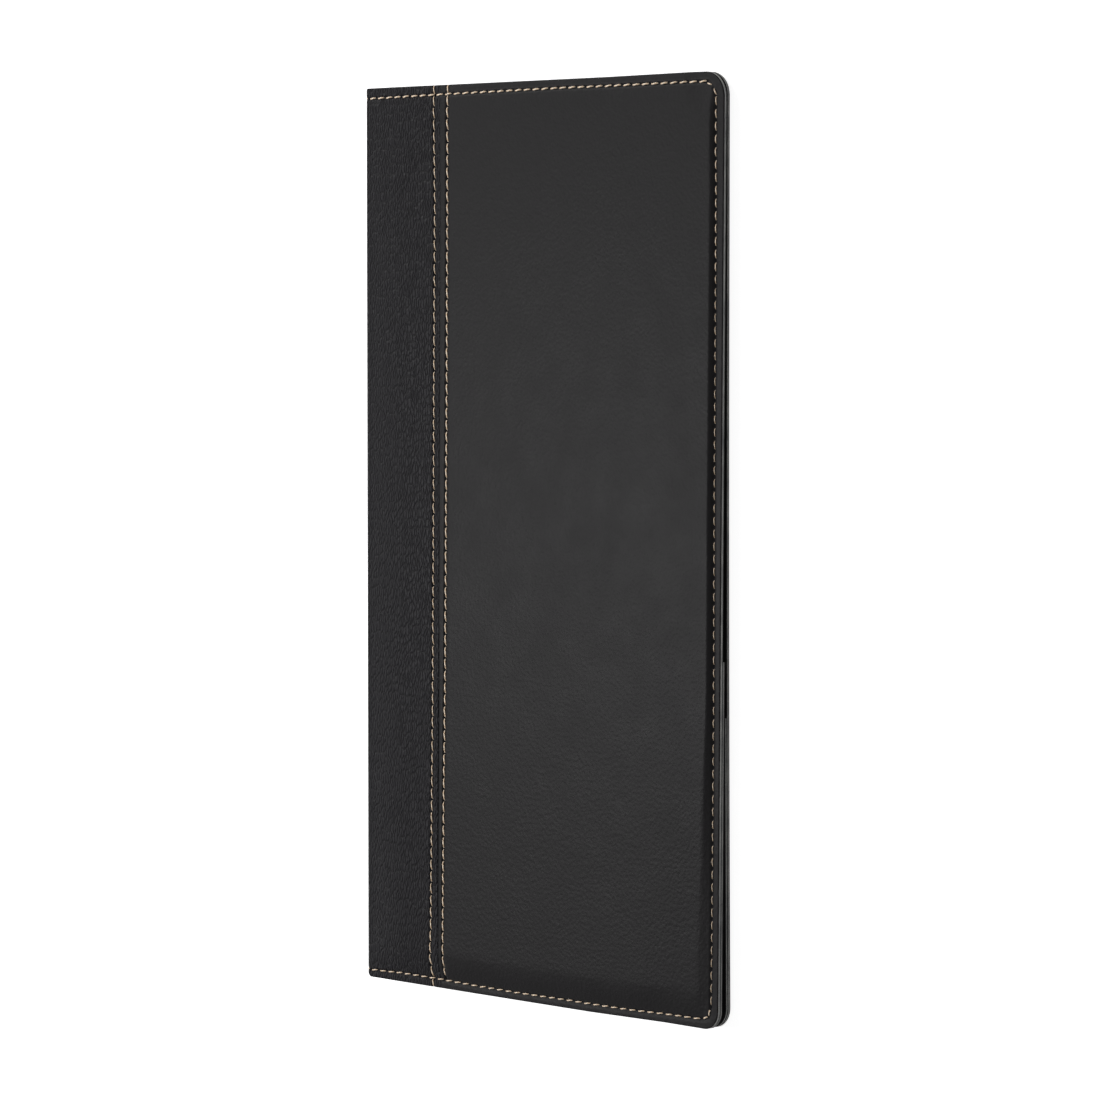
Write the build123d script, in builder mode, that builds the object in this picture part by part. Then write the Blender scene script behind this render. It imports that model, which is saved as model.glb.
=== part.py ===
from build123d import *
from dataclasses import dataclass
from math import atan2, ceil, degrees, pi
import os

# Guest check presenter, closed and lying on its back cover. All sizes are in millimetres.
#
# It is one opened-out sandwich, folded once: leatherette outside, foam and greyboard in each
# cover, lining and a bill pocket inside, sewn round its cut edges. X runs from the spine (-X) to
# the free edges (+X), Y runs up the page, and Z is the thickness. The origin is under the middle
# of the closed presenter, on the surface that it lies on.

# Overall size
CLOSED_WIDTH = 140.0
HEIGHT = 254.0
BACK_SETBACK = 1.1        # the back cover's free edge stops this much short of the front's
CORNER_RADIUS = 5.0
SPINE_END_RADIUS = 1.5    # the fold's ends are rounded off a little

# Layers of a cover, from the outside in
SKIN = 0.7
FOAM = 0.3
BOARD = 0.5
LINING = 0.5
POCKET = 0.8
POCKET_SHEET = 0.5        # the pocket's own sheet; the rest of POCKET is the room behind it
FACING_GAP = 0.4          # between the two pockets when closed

# The raised pad that foam and board make inside each cover
PAD_FOOT = 3.6            # from the cover's edge to the foot of the pad's slope
PAD_RUN = 3.0             # width of that slope
SPINE_FOOT = 0.6          # the same two sizes on the spine side, where the slope is longer
SPINE_RUN = 6.0
PAD_FOOT_CORNER = 6.0      # corner radius of the pad's outline at its foot, and at its top
PAD_TOP_CORNER = 3.0
PAD_RIM_RADIUS = 6.0

# Bill pockets, open towards +Y
FRONT_POCKET_HEIGHT = 98.0
BACK_POCKET_HEIGHT = 83.0
POCKET_START = 9.0        # from the fold to the pocket's spine side
POCKET_BORDER = 4.5       # sewn border round the room inside the pocket
POCKET_SEAM_INSET = 2.0

# Decorative seam between the grained spine band and the smooth panel, measured from the fold
SEAM_DISTANCE = 30.0
BAND_ROW_DISTANCE = 28.0
PANEL_ROW_DISTANCE = 33.1
SEAM_GROOVE_WIDTH = 0.8
ROW_GROOVE_WIDTH = 1.4
GROOVE_DEPTH = 0.35

# Sewing
STITCH_PITCH = 3.45
THREAD_WIDTH = 0.75
THREAD_THICKNESS = 0.35
EDGE_STITCH_LENGTH = 2.25
SEAM_STITCH_LENGTH = 2.8
STITCH_SLANT = 10.0       # degrees that each stitch lies across its row
EDGE_ROW_INSET = 2.5

# Worked out from the above
PAD_RISE = FOAM + BOARD
MARGIN_LAYERS = SKIN + LINING
SEWN_THICKNESS = 2 * (MARGIN_LAYERS + POCKET) + FACING_GAP
CLOSED_THICKNESS = SEWN_THICKNESS + 2 * PAD_RISE
MIDDLE = Plane.XY.offset(CLOSED_THICKNESS / 2)
FOLD_RADIUS = SEWN_THICKNESS / 2
FOLD_X = FOLD_RADIUS - CLOSED_WIDTH / 2     # where the flat covers end and the fold begins
LINING_Z = PAD_RISE + SKIN
POCKET_Z = LINING_Z + LINING
STITCH_GAP_AT_SEAM = (EDGE_STITCH_LENGTH + THREAD_WIDTH) / 2 + 0.3


@dataclass(frozen=True)
class Cover:
    """One cover: modelled lying on the table, and mirrored through the middle if it is the front."""

    name: str
    width: float
    pocket_height: float
    mirrored: bool


BACK = Cover("back", CLOSED_WIDTH - FOLD_RADIUS - BACK_SETBACK, BACK_POCKET_HEIGHT, False)
FRONT = Cover("front", CLOSED_WIDTH - FOLD_RADIUS, FRONT_POCKET_HEIGHT, True)


def save(piece, name):
    """Label one finished piece and write it to its own STEP file."""
    piece.label = name
    export_step(piece, f"parts/{name}.step")


def turn_over(cover):
    """Inside a part: put the piece where it lies in its cover."""
    if cover.mirrored:
        mirror(about=MIDDLE, mode=Mode.REPLACE)


def cover_outline(cover):
    """A cover's cut outline, square at the fold and rounded at the two free corners."""
    with BuildSketch() as outline:
        with Locations((FOLD_X + cover.width / 2, 0)):
            Rectangle(cover.width, HEIGHT)
        fillet(outline.vertices().group_by(Axis.X)[-1], CORNER_RADIUS)
    return outline.sketch


def pad_outline(cover, climb):
    """The pad's outline on its slope, from climb 0 at the foot to climb 1 at the flat top."""
    low_x = FOLD_X + SPINE_FOOT + climb * SPINE_RUN
    high_x = FOLD_X + cover.width - PAD_FOOT - climb * PAD_RUN
    length = HEIGHT - 2 * (PAD_FOOT + climb * PAD_RUN)
    corner = PAD_FOOT_CORNER + climb * (PAD_TOP_CORNER - PAD_FOOT_CORNER)
    with BuildSketch() as outline:
        with Locations(((low_x + high_x) / 2, 0)):
            RectangleRounded(high_x - low_x, length, corner)
    return outline.sketch


def pad_block(cover, depth):
    """The sloped block of the pad, set in by depth; only the outermost one is rounded at its rim."""
    with BuildPart() as block:
        with BuildSketch(Plane.XY.offset(depth)):
            add(pad_outline(cover, 1))
        with BuildSketch(Plane.XY.offset(depth + PAD_RISE)):
            add(pad_outline(cover, 0))
        loft(ruled=True)
        if depth == 0:
            fillet(block.faces().sort_by(Axis.Z)[0].edges(), PAD_RIM_RADIUS)
    return block.part


def outer_form(cover, depth):
    """Everything inside the cover's outer surface, as far in as the lining, set in by depth."""
    with BuildPart() as form:
        with BuildSketch(Plane.XY.offset(PAD_RISE + depth)):
            add(cover_outline(cover))
        extrude(amount=SKIN - depth)
        add(pad_block(cover, depth))
    return form.part


def seam_grooves(cover):
    """The grooves that the seam and its two rows of stitches pull into the skin."""
    with BuildPart() as grooves:
        add(outer_form(cover, 0))
        add(outer_form(cover, GROOVE_DEPTH), mode=Mode.SUBTRACT)
        with BuildSketch():
            with Locations((FOLD_X + SEAM_DISTANCE, 0)):
                Rectangle(SEAM_GROOVE_WIDTH, HEIGHT)
            with Locations((FOLD_X + BAND_ROW_DISTANCE, 0), (FOLD_X + PANEL_ROW_DISTANCE, 0)):
                Rectangle(ROW_GROOVE_WIDTH, HEIGHT)
        extrude(amount=CLOSED_THICKNESS, mode=Mode.INTERSECT)
    return grooves.part


def outer_skin(cover):
    """Band and panel as one padded shell, before they are parted at the seam."""
    with BuildPart() as skin:
        add(outer_form(cover, 0))
        add(pad_block(cover, SKIN), mode=Mode.SUBTRACT)
        add(seam_grooves(cover), mode=Mode.SUBTRACT)
    return skin.part


def skin_pieces(cover):
    """The grained band beside the fold and the smooth panel beyond the seam."""
    seam = Plane(origin=(FOLD_X + SEAM_DISTANCE, 0, 0), z_dir=(1, 0, 0))
    skin = outer_skin(cover)
    with BuildPart() as band:
        add(skin)
        split(bisect_by=seam, keep=Keep.BOTTOM)
        turn_over(cover)
    with BuildPart() as panel:
        add(skin)
        split(bisect_by=seam, keep=Keep.TOP)
        turn_over(cover)
    save(band.part, f"{cover.name}_band")
    save(panel.part, f"{cover.name}_panel")


def padding_pieces(cover):
    """Foam under the skin, and the greyboard that it is glued to."""
    board_climb = 1 - FOAM / PAD_RISE
    with BuildPart() as foam:
        with BuildSketch(Plane.XY.offset(SKIN)):
            add(pad_outline(cover, 1))
        with BuildSketch(Plane.XY.offset(SKIN + FOAM)):
            add(pad_outline(cover, board_climb))
        loft(ruled=True)
        turn_over(cover)
    with BuildPart() as board:
        with BuildSketch(Plane.XY.offset(SKIN + FOAM)):
            add(pad_outline(cover, board_climb))
        extrude(amount=BOARD)
        turn_over(cover)
    save(foam.part, f"{cover.name}_foam")
    save(board.part, f"{cover.name}_board")


def lining_piece(cover):
    """The lining, cut to the cover's own outline."""
    with BuildPart() as lining:
        with BuildSketch(Plane.XY.offset(LINING_Z)):
            add(cover_outline(cover))
        extrude(amount=LINING)
        turn_over(cover)
    save(lining.part, f"{cover.name}_lining")


def pocket_piece(cover):
    """The bill pocket: sewn on three sides, and open at its mouth."""
    width = cover.width - POCKET_START
    middle_x = FOLD_X + POCKET_START + width / 2
    mouth_y = cover.pocket_height - HEIGHT / 2
    middle_y = (mouth_y - HEIGHT / 2) / 2
    seam_x = FOLD_X + POCKET_START + POCKET_SEAM_INSET
    with BuildPart() as pocket:
        with BuildSketch(Plane.XY.offset(POCKET_Z)):
            add(cover_outline(cover))
            with Locations((middle_x, middle_y)):
                Rectangle(width, cover.pocket_height, mode=Mode.INTERSECT)
        extrude(amount=POCKET)
        with BuildSketch(Plane.XY.offset(POCKET_Z)):
            with Locations((middle_x, middle_y + POCKET_BORDER)):
                Rectangle(width - 2 * POCKET_BORDER, cover.pocket_height)
        extrude(amount=POCKET - POCKET_SHEET, mode=Mode.SUBTRACT)
        with BuildSketch(Plane.XY.offset(POCKET_Z + POCKET)):
            with Locations((seam_x, middle_y)):
                Rectangle(ROW_GROOVE_WIDTH, cover.pocket_height)
        extrude(amount=-GROOVE_DEPTH, mode=Mode.SUBTRACT)
        turn_over(cover)
    save(pocket.part, f"{cover.name}_pocket")


def stitch_places(start, end, floor):
    """Places for one straight row from start to end, each stitch seated on its own bit of floor.

    floor gives the height that the thread lies on at a point of the row's own line.
    """
    row = Line(start, end)
    count = round(row.length / STITCH_PITCH)
    places = []
    for number in range(count):
        middle = (number + 0.5) / count
        reach = SEAM_STITCH_LENGTH / 2 / row.length
        foot = row.position_at(middle - reach)
        head = row.position_at(middle + reach)
        foot = Vector(foot.X, foot.Y, floor(foot.Y))
        head = Vector(head.X, head.Y, floor(head.Y))
        along = head - foot
        tilt = degrees(atan2(along.Z, Vector(along.X, along.Y, 0).length))
        heading = degrees(atan2(along.Y, along.X))
        turned = Location((foot + head) * 0.5, (0, 0, heading))
        places.append(turned * Location((0, 0, 0), (0, -tilt, 0)))
    return places


def groove_floor(y):
    """Height of the bottom of a seam row's groove, on the flat pad, on its slope or past it."""
    past_rim = abs(y) - (HEIGHT / 2 - PAD_FOOT - PAD_RUN)
    climb_down = min(max(past_rim / PAD_RUN, 0), 1)
    return GROOVE_DEPTH + climb_down * PAD_RISE


def stitches(places, length):
    """Inside a part: one slanted stitch of thread at each place, lying under it."""
    slanted = [place * Location((0, 0, 0), (0, 0, STITCH_SLANT)) for place in places]
    with Locations(*slanted):
        Box(length, THREAD_WIDTH, THREAD_THICKNESS, align=(Align.CENTER, Align.CENTER, Align.MAX))


def seam_threads(cover):
    """The two decorative rows beside the seam, from the bottom edge to the top edge."""
    for side, distance in (("band", BAND_ROW_DISTANCE), ("panel", PANEL_ROW_DISTANCE)):
        row_x = FOLD_X + distance
        with BuildPart() as thread:
            places = stitch_places((row_x, -HEIGHT / 2), (row_x, HEIGHT / 2), groove_floor)
            stitches(places, SEAM_STITCH_LENGTH)
            turn_over(cover)
        save(thread.part, f"{cover.name}_{side}_thread")


def edge_thread(cover):
    """The row that sews all layers together: out along the top, down the free edge and back."""
    row_x = FOLD_X + cover.width - EDGE_ROW_INSET
    row_y = HEIGHT / 2 - EDGE_ROW_INSET
    with BuildLine() as row:
        FilletPolyline(
            (FOLD_X, row_y),
            (row_x, row_y),
            (row_x, -row_y),
            (FOLD_X, -row_y),
            radius=CORNER_RADIUS - EDGE_ROW_INSET,
        )
    line = row.wire()
    count = ceil(line.length / STITCH_PITCH)
    crossings = [FOLD_X + BAND_ROW_DISTANCE, FOLD_X + PANEL_ROW_DISTANCE]
    places = []
    for number in range(count):
        middle = (number + 0.5) / count
        point = line.position_at(middle)
        if min(abs(point.X - crossing) for crossing in crossings) > STITCH_GAP_AT_SEAM:
            places.append(Location((point.X, point.Y, PAD_RISE), (0, 0, line.tangent_angle_at(middle))))
    with BuildPart() as thread:
        stitches(places, EDGE_STITCH_LENGTH)
        turn_over(cover)
    save(thread.part, f"{cover.name}_edge_thread")


def spine_piece(name, outer_radius, thickness):
    """One layer of the fold that joins the covers, bent into a half round while closed."""
    with BuildPart() as fold:
        with BuildSketch(Plane.XZ.offset(-HEIGHT / 2)):
            with Locations((FOLD_X, CLOSED_THICKNESS / 2)):
                Circle(outer_radius)
                Circle(outer_radius - thickness, mode=Mode.SUBTRACT)
            with Locations((FOLD_X + CLOSED_WIDTH / 2, CLOSED_THICKNESS / 2)):
                Rectangle(CLOSED_WIDTH, CLOSED_WIDTH, mode=Mode.SUBTRACT)
        extrude(amount=HEIGHT)
        with BuildSketch() as plan:
            with Locations((FOLD_X + FOLD_RADIUS, 0)):
                Rectangle(4 * FOLD_RADIUS, HEIGHT)
            fillet(plan.vertices().group_by(Axis.X)[0], SPINE_END_RADIUS)
        extrude(amount=CLOSED_THICKNESS, mode=Mode.INTERSECT)
    save(fold.part, name)


os.makedirs("parts", exist_ok=True)
for each_cover in (BACK, FRONT):
    skin_pieces(each_cover)
    padding_pieces(each_cover)
    lining_piece(each_cover)
    pocket_piece(each_cover)
    seam_threads(each_cover)
    edge_thread(each_cover)
spine_piece("spine_band", FOLD_RADIUS, SKIN)
spine_piece("spine_lining", FOLD_RADIUS - SKIN, LINING)

# The fold opens flat in two equal turns of a quarter circle, one about each of these lines.
hinge_x = FOLD_X - pi / 4 * FOLD_RADIUS
hinge_z = CLOSED_THICKNESS / 2 - pi / 4 * FOLD_RADIUS
print(f"back fold axis x {hinge_x:.3f} z {hinge_z:.3f}, front fold axis z {CLOSED_THICKNESS - hinge_z:.3f}")
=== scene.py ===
"""Guest check presenter: the look of every piece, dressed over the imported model.

Sizes are in millimetres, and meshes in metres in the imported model's frame: X runs from the fold
(-X) to the free edges, Y up the page, and Z up from the table that the closed presenter lies on.

A sheet is laid out flat first, as (u, y, h). u runs from the fold line to the free edge and is
below zero round the fold, and h is the height out from the face of the sewn margin.
"""

import logging
import math
import random
from dataclasses import dataclass, field, replace
from enum import Enum
from typing import Any, Callable, Iterable, Optional, Sequence

import bmesh
import bpy
from mathutils import Matrix, Vector, noise


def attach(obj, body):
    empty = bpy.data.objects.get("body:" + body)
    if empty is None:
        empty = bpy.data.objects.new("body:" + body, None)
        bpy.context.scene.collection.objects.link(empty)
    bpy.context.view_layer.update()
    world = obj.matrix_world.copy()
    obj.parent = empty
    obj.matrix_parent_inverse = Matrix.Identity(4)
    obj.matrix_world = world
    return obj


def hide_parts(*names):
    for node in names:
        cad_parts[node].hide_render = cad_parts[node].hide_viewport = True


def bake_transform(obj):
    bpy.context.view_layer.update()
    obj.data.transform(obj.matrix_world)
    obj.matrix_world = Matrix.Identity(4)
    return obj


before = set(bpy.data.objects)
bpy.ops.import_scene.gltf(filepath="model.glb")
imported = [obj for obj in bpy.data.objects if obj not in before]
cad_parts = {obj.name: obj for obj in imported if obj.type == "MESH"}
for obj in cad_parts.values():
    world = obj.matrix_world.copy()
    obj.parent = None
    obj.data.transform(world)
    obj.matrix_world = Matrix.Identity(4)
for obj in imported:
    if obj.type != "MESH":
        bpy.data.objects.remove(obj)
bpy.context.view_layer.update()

log = logging.getLogger("presenter")

MM = 0.001
FlatPoint = tuple[float, float]
Height = Callable[[float, float], float]


# ---------------------------------------------------------------------------------- small helpers


def clamp(value: float) -> float:
    """Keep a value between 0 and 1."""
    return max(0.0, min(1.0, value))


def smoothstep(value: float) -> float:
    """An S-curve from 0 to 1."""
    t = clamp(value)
    return t * t * (3.0 - 2.0 * t)


def bell(distance: float, width: float) -> float:
    """A bell curve that is 1 at distance 0."""
    return math.exp(-((distance / width) ** 2))


def rounding(distance: float, radius: float) -> float:
    """Find how far a quarter-round edge has dropped.

    Args:
        distance: Distance in from the edge.
        radius: Radius of the rounding.

    Returns:
        The drop, as a share of the radius.
    """
    if distance >= radius:
        return 0.0
    return 1.0 - math.sqrt(1.0 - (1.0 - max(distance, 0.0) / radius) ** 2)


class Curve:
    """A value along a line: straight between its places and level beyond them."""

    def __init__(self, *points: FlatPoint) -> None:
        """Take the places and their values, in order."""
        self.points = points
        self.known: dict[float, float] = {}

    def __call__(self, place: float) -> float:
        """Read the value at a place, and remember it.

        Args:
            place: Where along the line.

        Returns:
            The value there.
        """
        if place not in self.known:
            self.known[place] = self.read(place)
        return self.known[place]

    def read(self, place: float) -> float:
        """Work the value at a place out.

        Args:
            place: Where along the line.

        Returns:
            The value there.
        """
        for (low, low_value), (high, high_value) in zip(self.points, self.points[1:]):
            if place < high:
                return low_value + clamp((place - low) / (high - low)) * (high_value - low_value)
        return self.points[-1][1]


@dataclass(frozen=True)
class Ease:
    """An S-curve from 0 to 1 that begins at a place and takes a given run."""

    start: float
    run: float

    def __call__(self, place: float) -> float:
        """Read the curve at a place."""
        return smoothstep((place - self.start) / self.run)


def to_linear(hex_colour: str) -> tuple[float, float, float, float]:
    """Turn an sRGB hex colour to a linear RGBA one.

    Args:
        hex_colour: Six hex digits after a hash mark.

    Returns:
        The linear red, green, blue and an alpha of 1.
    """
    channels = [int(hex_colour[i : i + 2], 16) / 255.0 for i in (1, 3, 5)]
    linear = [c / 12.92 if c <= 0.04045 else ((c + 0.055) / 1.055) ** 2.4 for c in channels]
    return (linear[0], linear[1], linear[2], 1.0)


def add_node(
    tree: bpy.types.NodeTree,
    kind: str,
    values: Optional[dict[str | int, Any]] = None,
    links: Optional[dict[str | int, bpy.types.NodeSocket]] = None,
    **settings: Any,
) -> bpy.types.Node:
    """Add a shader node with its settings, socket values and incoming links.

    Args:
        tree: The node tree to add to.
        kind: The node's type, without its "ShaderNode" prefix.
        values: Input sockets, by name or number, and their values.
        links: Input sockets, by name or number, and the sockets that feed them.
        **settings: Properties of the node itself.

    Returns:
        The new node.
    """
    node = tree.nodes.new(f"ShaderNode{kind}")
    for key, value in settings.items():
        setattr(node, key, value)
    for key, value in (values or {}).items():
        node.inputs[key].default_value = value
    for key, socket in (links or {}).items():
        tree.links.new(socket, node.inputs[key])
    return node


# ----------------------------------------------------------------------------------------- layout


class Side(Enum):
    """The two covers. Both are laid out as the back one, and the front is its mirror image."""

    BACK = "back"
    FRONT = "front"

    @property
    def body(self) -> str:
        """The CAD body that this cover's pieces ride on."""
        return f"{self.value}_cover"


@dataclass(frozen=True)
class Layout:
    """The sizes that the pieces share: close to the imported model's, with the lie of soft goods."""

    half_height: float = 127.0
    closed_width: float = 140.0
    back_setback: float = 1.1
    corner_radius: float = 6.1  # where the rows turn the corner, for the sharing out of stitches
    front_radii: tuple[float, float] = (6.8, 5.0)  # of the outline's corners, at the head and at the tail
    back_radii: tuple[float, float] = (6.3, 5.6)
    fold_radius: float = 2.2
    fold_end_radii: tuple[float, float] = (1.9, 3.2)  # at the head and at the tail
    fold_end_reach: float = 1.9  # how far in from its ends the fold is drawn in
    margin_level: float = 0.8  # outer face of a sewn margin, above the table
    middle_level: float = 3.0  # where the covers meet
    clearance: float = 0.01  # kept between two faces that would otherwise meet
    hair: float = 0.001  # a difference too small to count
    pad_rise: float = 0.8
    pad_foot_round: float = 0.05  # how softly the pad's slopes leave the margin
    head_foot: float = -2.0  # where the pad's rise begins, in from the head: beyond it
    head_corner_foot: float = 3.3  # and near the free corner
    head_corner: Ease = Ease(-16.0, 9.0)  # along u from the free edge
    after_row: float = 0.35  # and past the row of stitches at the free edge and the tail
    end_runs: tuple[float, float] = (9.0, 8.0)  # of the slopes at the head and the tail
    pad_powers: tuple[float, float, float] = (1.1, 1.4, 1.8)  # at the free edge, the head and the tail
    # The pad's height up the page, as a share: it flattens towards the head.
    pad_share: Curve = Curve((-127.0, 1.45), (-112.0, 1.25), (-90.0, 1.05), (20.0, 1.0), (127.0, 0.6))
    # It's also lower towards the free corner at the tail: along u from the free edge, and down the page.
    tail_corner_share: float = 0.7
    tail_corner: tuple[Ease, Ease] = (Ease(-30.0, 22.0), Ease(60.0, 40.0))
    # The run of its slope at the free edge.
    free_run: Curve = Curve((-110.0, 4.5), (-85.0, 3.2), (-40.0, 1.5), (-20.0, 1.35))
    # Its slope at the fold: quick over a first share of its run, then slower.
    spine_foot: float = 0.3
    spine_run: float = 15.0
    spine_quick: float = 0.12
    spine_power: float = 1.7
    packing_foot: float = 3.6  # the foam's slope, at the free edge and at the fold
    packing_run: float = 3.0
    packing_spine_foot: float = 0.6
    packing_spine_run: float = 6.0
    board_face: float = -0.2
    least_foam: float = 0.02
    band_row: float = 27.3
    seam: float = 29.8
    panel_row: float = 32.4
    stitch_pitch: float = 3.43  # aimed at along the head and the tail
    along_stitch: float = 3.37  # and up the page
    skin: float = 0.7
    lining: float = 0.5
    pocket_start: float = 9.0
    pocket_row: float = 11.0
    pocket_heights: tuple[float, float] = (83.0, 98.0)
    # The pockets spread the covers at the tail, and above them the covers close up. These are the
    # free edge's moves at the head and at the tail: the front's away from the back, the back's outward.
    spread_start: float = 60.0
    spread_run: float = 181.0
    lift: tuple[float, float] = (-1.15, 0.75)
    slide: tuple[float, float] = (0.2, 1.1)
    upper_row: float = 75.0  # above it the thread up the free edge stands a little prouder
    # How far in from the cut edge the row was sewn: round the corners, up the free edge, and along
    # the head and the tail.
    corner_inset: float = 3.0
    free_inset: Curve = Curve(
        (-121.0, 2.5), (-101.0, 2.38), (-66.0, 2.33), (-40.0, 2.33), (-13.0, 2.48), (13.0, 2.6), (66.0, 2.68),
        (98.0, 2.74), (106.0, 2.95), (121.0, 2.95),
    )
    head_inset: Curve = Curve((5.0, 2.92), (13.0, 2.82), (42.0, 2.58), (80.0, 2.38), (125.0, 2.6))
    tail_inset: Curve = Curve(
        (3.0, 2.15), (13.0, 2.5), (28.0, 2.5), (45.0, 2.2), (60.0, 2.1), (82.0, 2.25), (105.0, 2.1),
        (128.0, 2.5),
    )
    # How far the head and the tail edges bow out of line.
    head_bow: Curve = Curve((95.0, 0.0), (125.0, 0.22), (138.0, 0.15))
    tail_bow: Curve = Curve((0.0, 0.15), (45.0, 0.28), (90.0, 0.36), (118.0, 0.05), (138.0, 0.15))
    # How far the seam and the two rows beside it wander sideways up the page.
    band_sway: Curve = Curve(
        (-127.0, -0.9), (-118.0, -1.2), (-109.0, -0.8), (-94.0, -0.75), (-72.0, -0.49), (-43.0, -0.1),
        (14.0, 0.24), (43.0, 0.33), (94.0, 0.55), (111.0, 0.2), (127.0, -0.2),
    )
    seam_sway: Curve = Curve(
        (-127.0, 0.0), (-97.0, -0.35), (-80.0, -0.3), (-55.0, -0.15), (-37.0, 0.0), (-3.0, 0.05), (31.0, 0.2),
        (94.0, 0.35), (127.0, 0.0),
    )
    panel_sway: Curve = Curve(
        (-127.0, -0.5), (-118.0, -0.95), (-94.0, -0.93), (-72.0, -0.7), (-43.0, -0.17), (14.0, 0.3),
        (43.0, 0.45), (94.0, 0.5), (111.0, 0.5), (127.0, 0.3),
    )
    sway_reach: tuple[float, float] = (15.0, 60.0)  # where it has died out, on both sides of the seam

    @property
    def fold_x(self) -> float:
        """Where the flat covers end and the fold begins."""
        return self.fold_radius - self.closed_width / 2.0

    @property
    def fold_run(self) -> float:
        """Length of the sheet round one half of the fold."""
        return math.pi / 2.0 * self.fold_radius

    @property
    def straight_top(self) -> float:
        """How far up the free edge is straight."""
        return self.half_height - self.corner_radius

    def width(self, side: Side) -> float:
        """Width of a cover from the fold line to its free edge."""
        full = self.closed_width - self.fold_radius
        return full - self.back_setback if side is Side.BACK else full

    def corner(self, side: Side, y: float) -> float:
        """Radius of a cover's free corner at the head or at the tail."""
        return (self.back_radii if side is Side.BACK else self.front_radii)[y < 0.0]

    def mouth(self, side: Side) -> float:
        """Y of the mouth of a cover's pocket."""
        return self.pocket_heights[side is Side.FRONT] - self.half_height

    def across_pitch(self, side: Side) -> float:
        """Stitch pitch along the top and the bottom, so that whole stitches reach the corner."""
        run = self.width(side) - self.corner_radius
        return run / round(run / self.stitch_pitch)

    def along_pitch(self) -> float:
        """Stitch pitch up the page, so that whole stitches fill the straight part."""
        run = 2.0 * self.straight_top
        return run / round(run / self.along_stitch)

    def row_inset(self, side: Side, u: float, y: float) -> float:
        """Find how far in from the cut edge the row of stitches runs near a point.

        Args:
            side: The cover.
            u: Distance from the fold line.
            y: Distance up the page.

        Returns:
            The distance in from the edge.
        """
        if self.width(side) - u < self.half_height - abs(y):
            return self.free_inset(y)
        return self.head_inset(u) if y > 0.0 else self.tail_inset(u)

    def edge_distance(self, side: Side, u: float, y: float) -> float:
        """Measure in from a cover's cut edge, whose two free corners are rounded.

        Args:
            side: The cover.
            u: Distance from the fold line.
            y: Distance up the page.

        Returns:
            The distance in from the edge, below zero outside it.
        """
        radius = self.corner(side, y)
        past_u, past_y = u - self.width(side) + radius, abs(y) - self.half_height + radius
        if past_u > 0.0 and past_y > 0.0:
            return radius - math.hypot(past_u, past_y)
        return min(self.width(side) - u, self.half_height - abs(y))

    def pad(self, side: Side, u: float, y: float) -> float:
        """Find the height of the soft pad over the sewn margin: steep at its foot and flat on top.

        Args:
            side: The cover.
            u: Distance from the fold line.
            y: Distance up the page.

        Returns:
            The height over the margin.
        """
        edge, end = self.width(side), 1 if y > 0.0 else 2
        in_u = clamp((edge - self.free_inset(y) - self.after_row - u) / self.free_run(y))
        if y > 0.0:
            foot = self.head_foot + (self.head_corner_foot - self.head_foot) * self.head_corner(u - edge)
        else:
            foot = self.tail_inset(u) + self.after_row
        in_y = clamp((self.half_height - foot - abs(y)) / self.end_runs[y < 0.0])
        swell = (1.0 - (1.0 - in_u) ** self.pad_powers[0]) * (1.0 - (1.0 - in_y) ** self.pad_powers[end])
        swell = (1.0 + self.pad_foot_round) * swell * swell / (swell + self.pad_foot_round)
        share = self.pad_share(y)
        from_edge, down = self.tail_corner
        share += (self.tail_corner_share - share) * from_edge(u - edge) * down(-y)
        if side is Side.BACK:
            share = min(share, 1.0)  # it's pressed flat by the table
        return self.pad_rise * share * swell * self.spine_swell(u)

    def spine_swell(self, u: float) -> float:
        """The pad's height near the fold, as a share: quick at first, then slower."""
        reach = clamp((u - self.spine_foot) / self.spine_run)
        return smoothstep(reach / self.spine_quick) * (1.0 - (1.0 - reach) ** self.spine_power)

    def packing(self, side: Side, u: float, y: float) -> float:
        """Find what lies under the skin: the foam, pressed down to its board where the pad is low.

        Args:
            side: The cover.
            u: Distance from the fold line.
            y: Distance up the page.

        Returns:
            Its height over the margin, or that of the lining outside the foam and the board.
        """
        in_edge = min(self.width(side) - u, self.half_height - abs(y)) - self.packing_foot
        climb = clamp(min(in_edge / self.packing_run, (u - self.packing_spine_foot) / self.packing_spine_run))
        foam_face = self.pad_rise * climb - self.skin
        if foam_face < self.board_face - self.hair:
            return -self.skin
        pressed = min(foam_face, self.pad(side, u, y) - self.skin - self.clearance)
        return max(self.board_face + self.least_foam, pressed)

    def spread(self, side: Side, u: float, y: float) -> float:
        """Find how far the spreading of the covers moves a point of one of them.

        Args:
            side: The cover.
            u: Distance from the fold line.
            y: Distance up the page.

        Returns:
            How far it moves: the front's away from the back, the back's outward.
        """
        if side is Side.FRONT:
            head, tail = self.lift
            share = clamp((self.half_height - y) / (2.0 * self.half_height))
            return (head + (tail - head) * share) * u / self.width(side)
        head, tail = self.slide
        share = clamp((self.spread_start - y) / self.spread_run) ** 2
        return (head + (tail - head) * share) * u / self.width(side)

    def hole_distance(self, side: Side, u: float, y: float) -> float:
        """Measure along the edge row to its nearest needle hole.

        Args:
            side: The cover.
            u: Distance from the fold line.
            y: Distance up the page.

        Returns:
            The distance along the row.
        """
        if self.width(side) - u < self.half_height - abs(y):
            place, pitch = y + self.straight_top, self.along_pitch()
        else:
            place, pitch = u, self.across_pitch(side) if u > 0.0 else self.fold_run
        return abs((place + pitch / 2.0) % pitch - pitch / 2.0)

    def seam_hole_distance(self, y: float) -> float:
        """Distance along a seam row to its nearest needle hole."""
        pitch = self.along_pitch()
        return abs((y + self.straight_top + pitch / 2.0) % pitch - pitch / 2.0)

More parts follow.
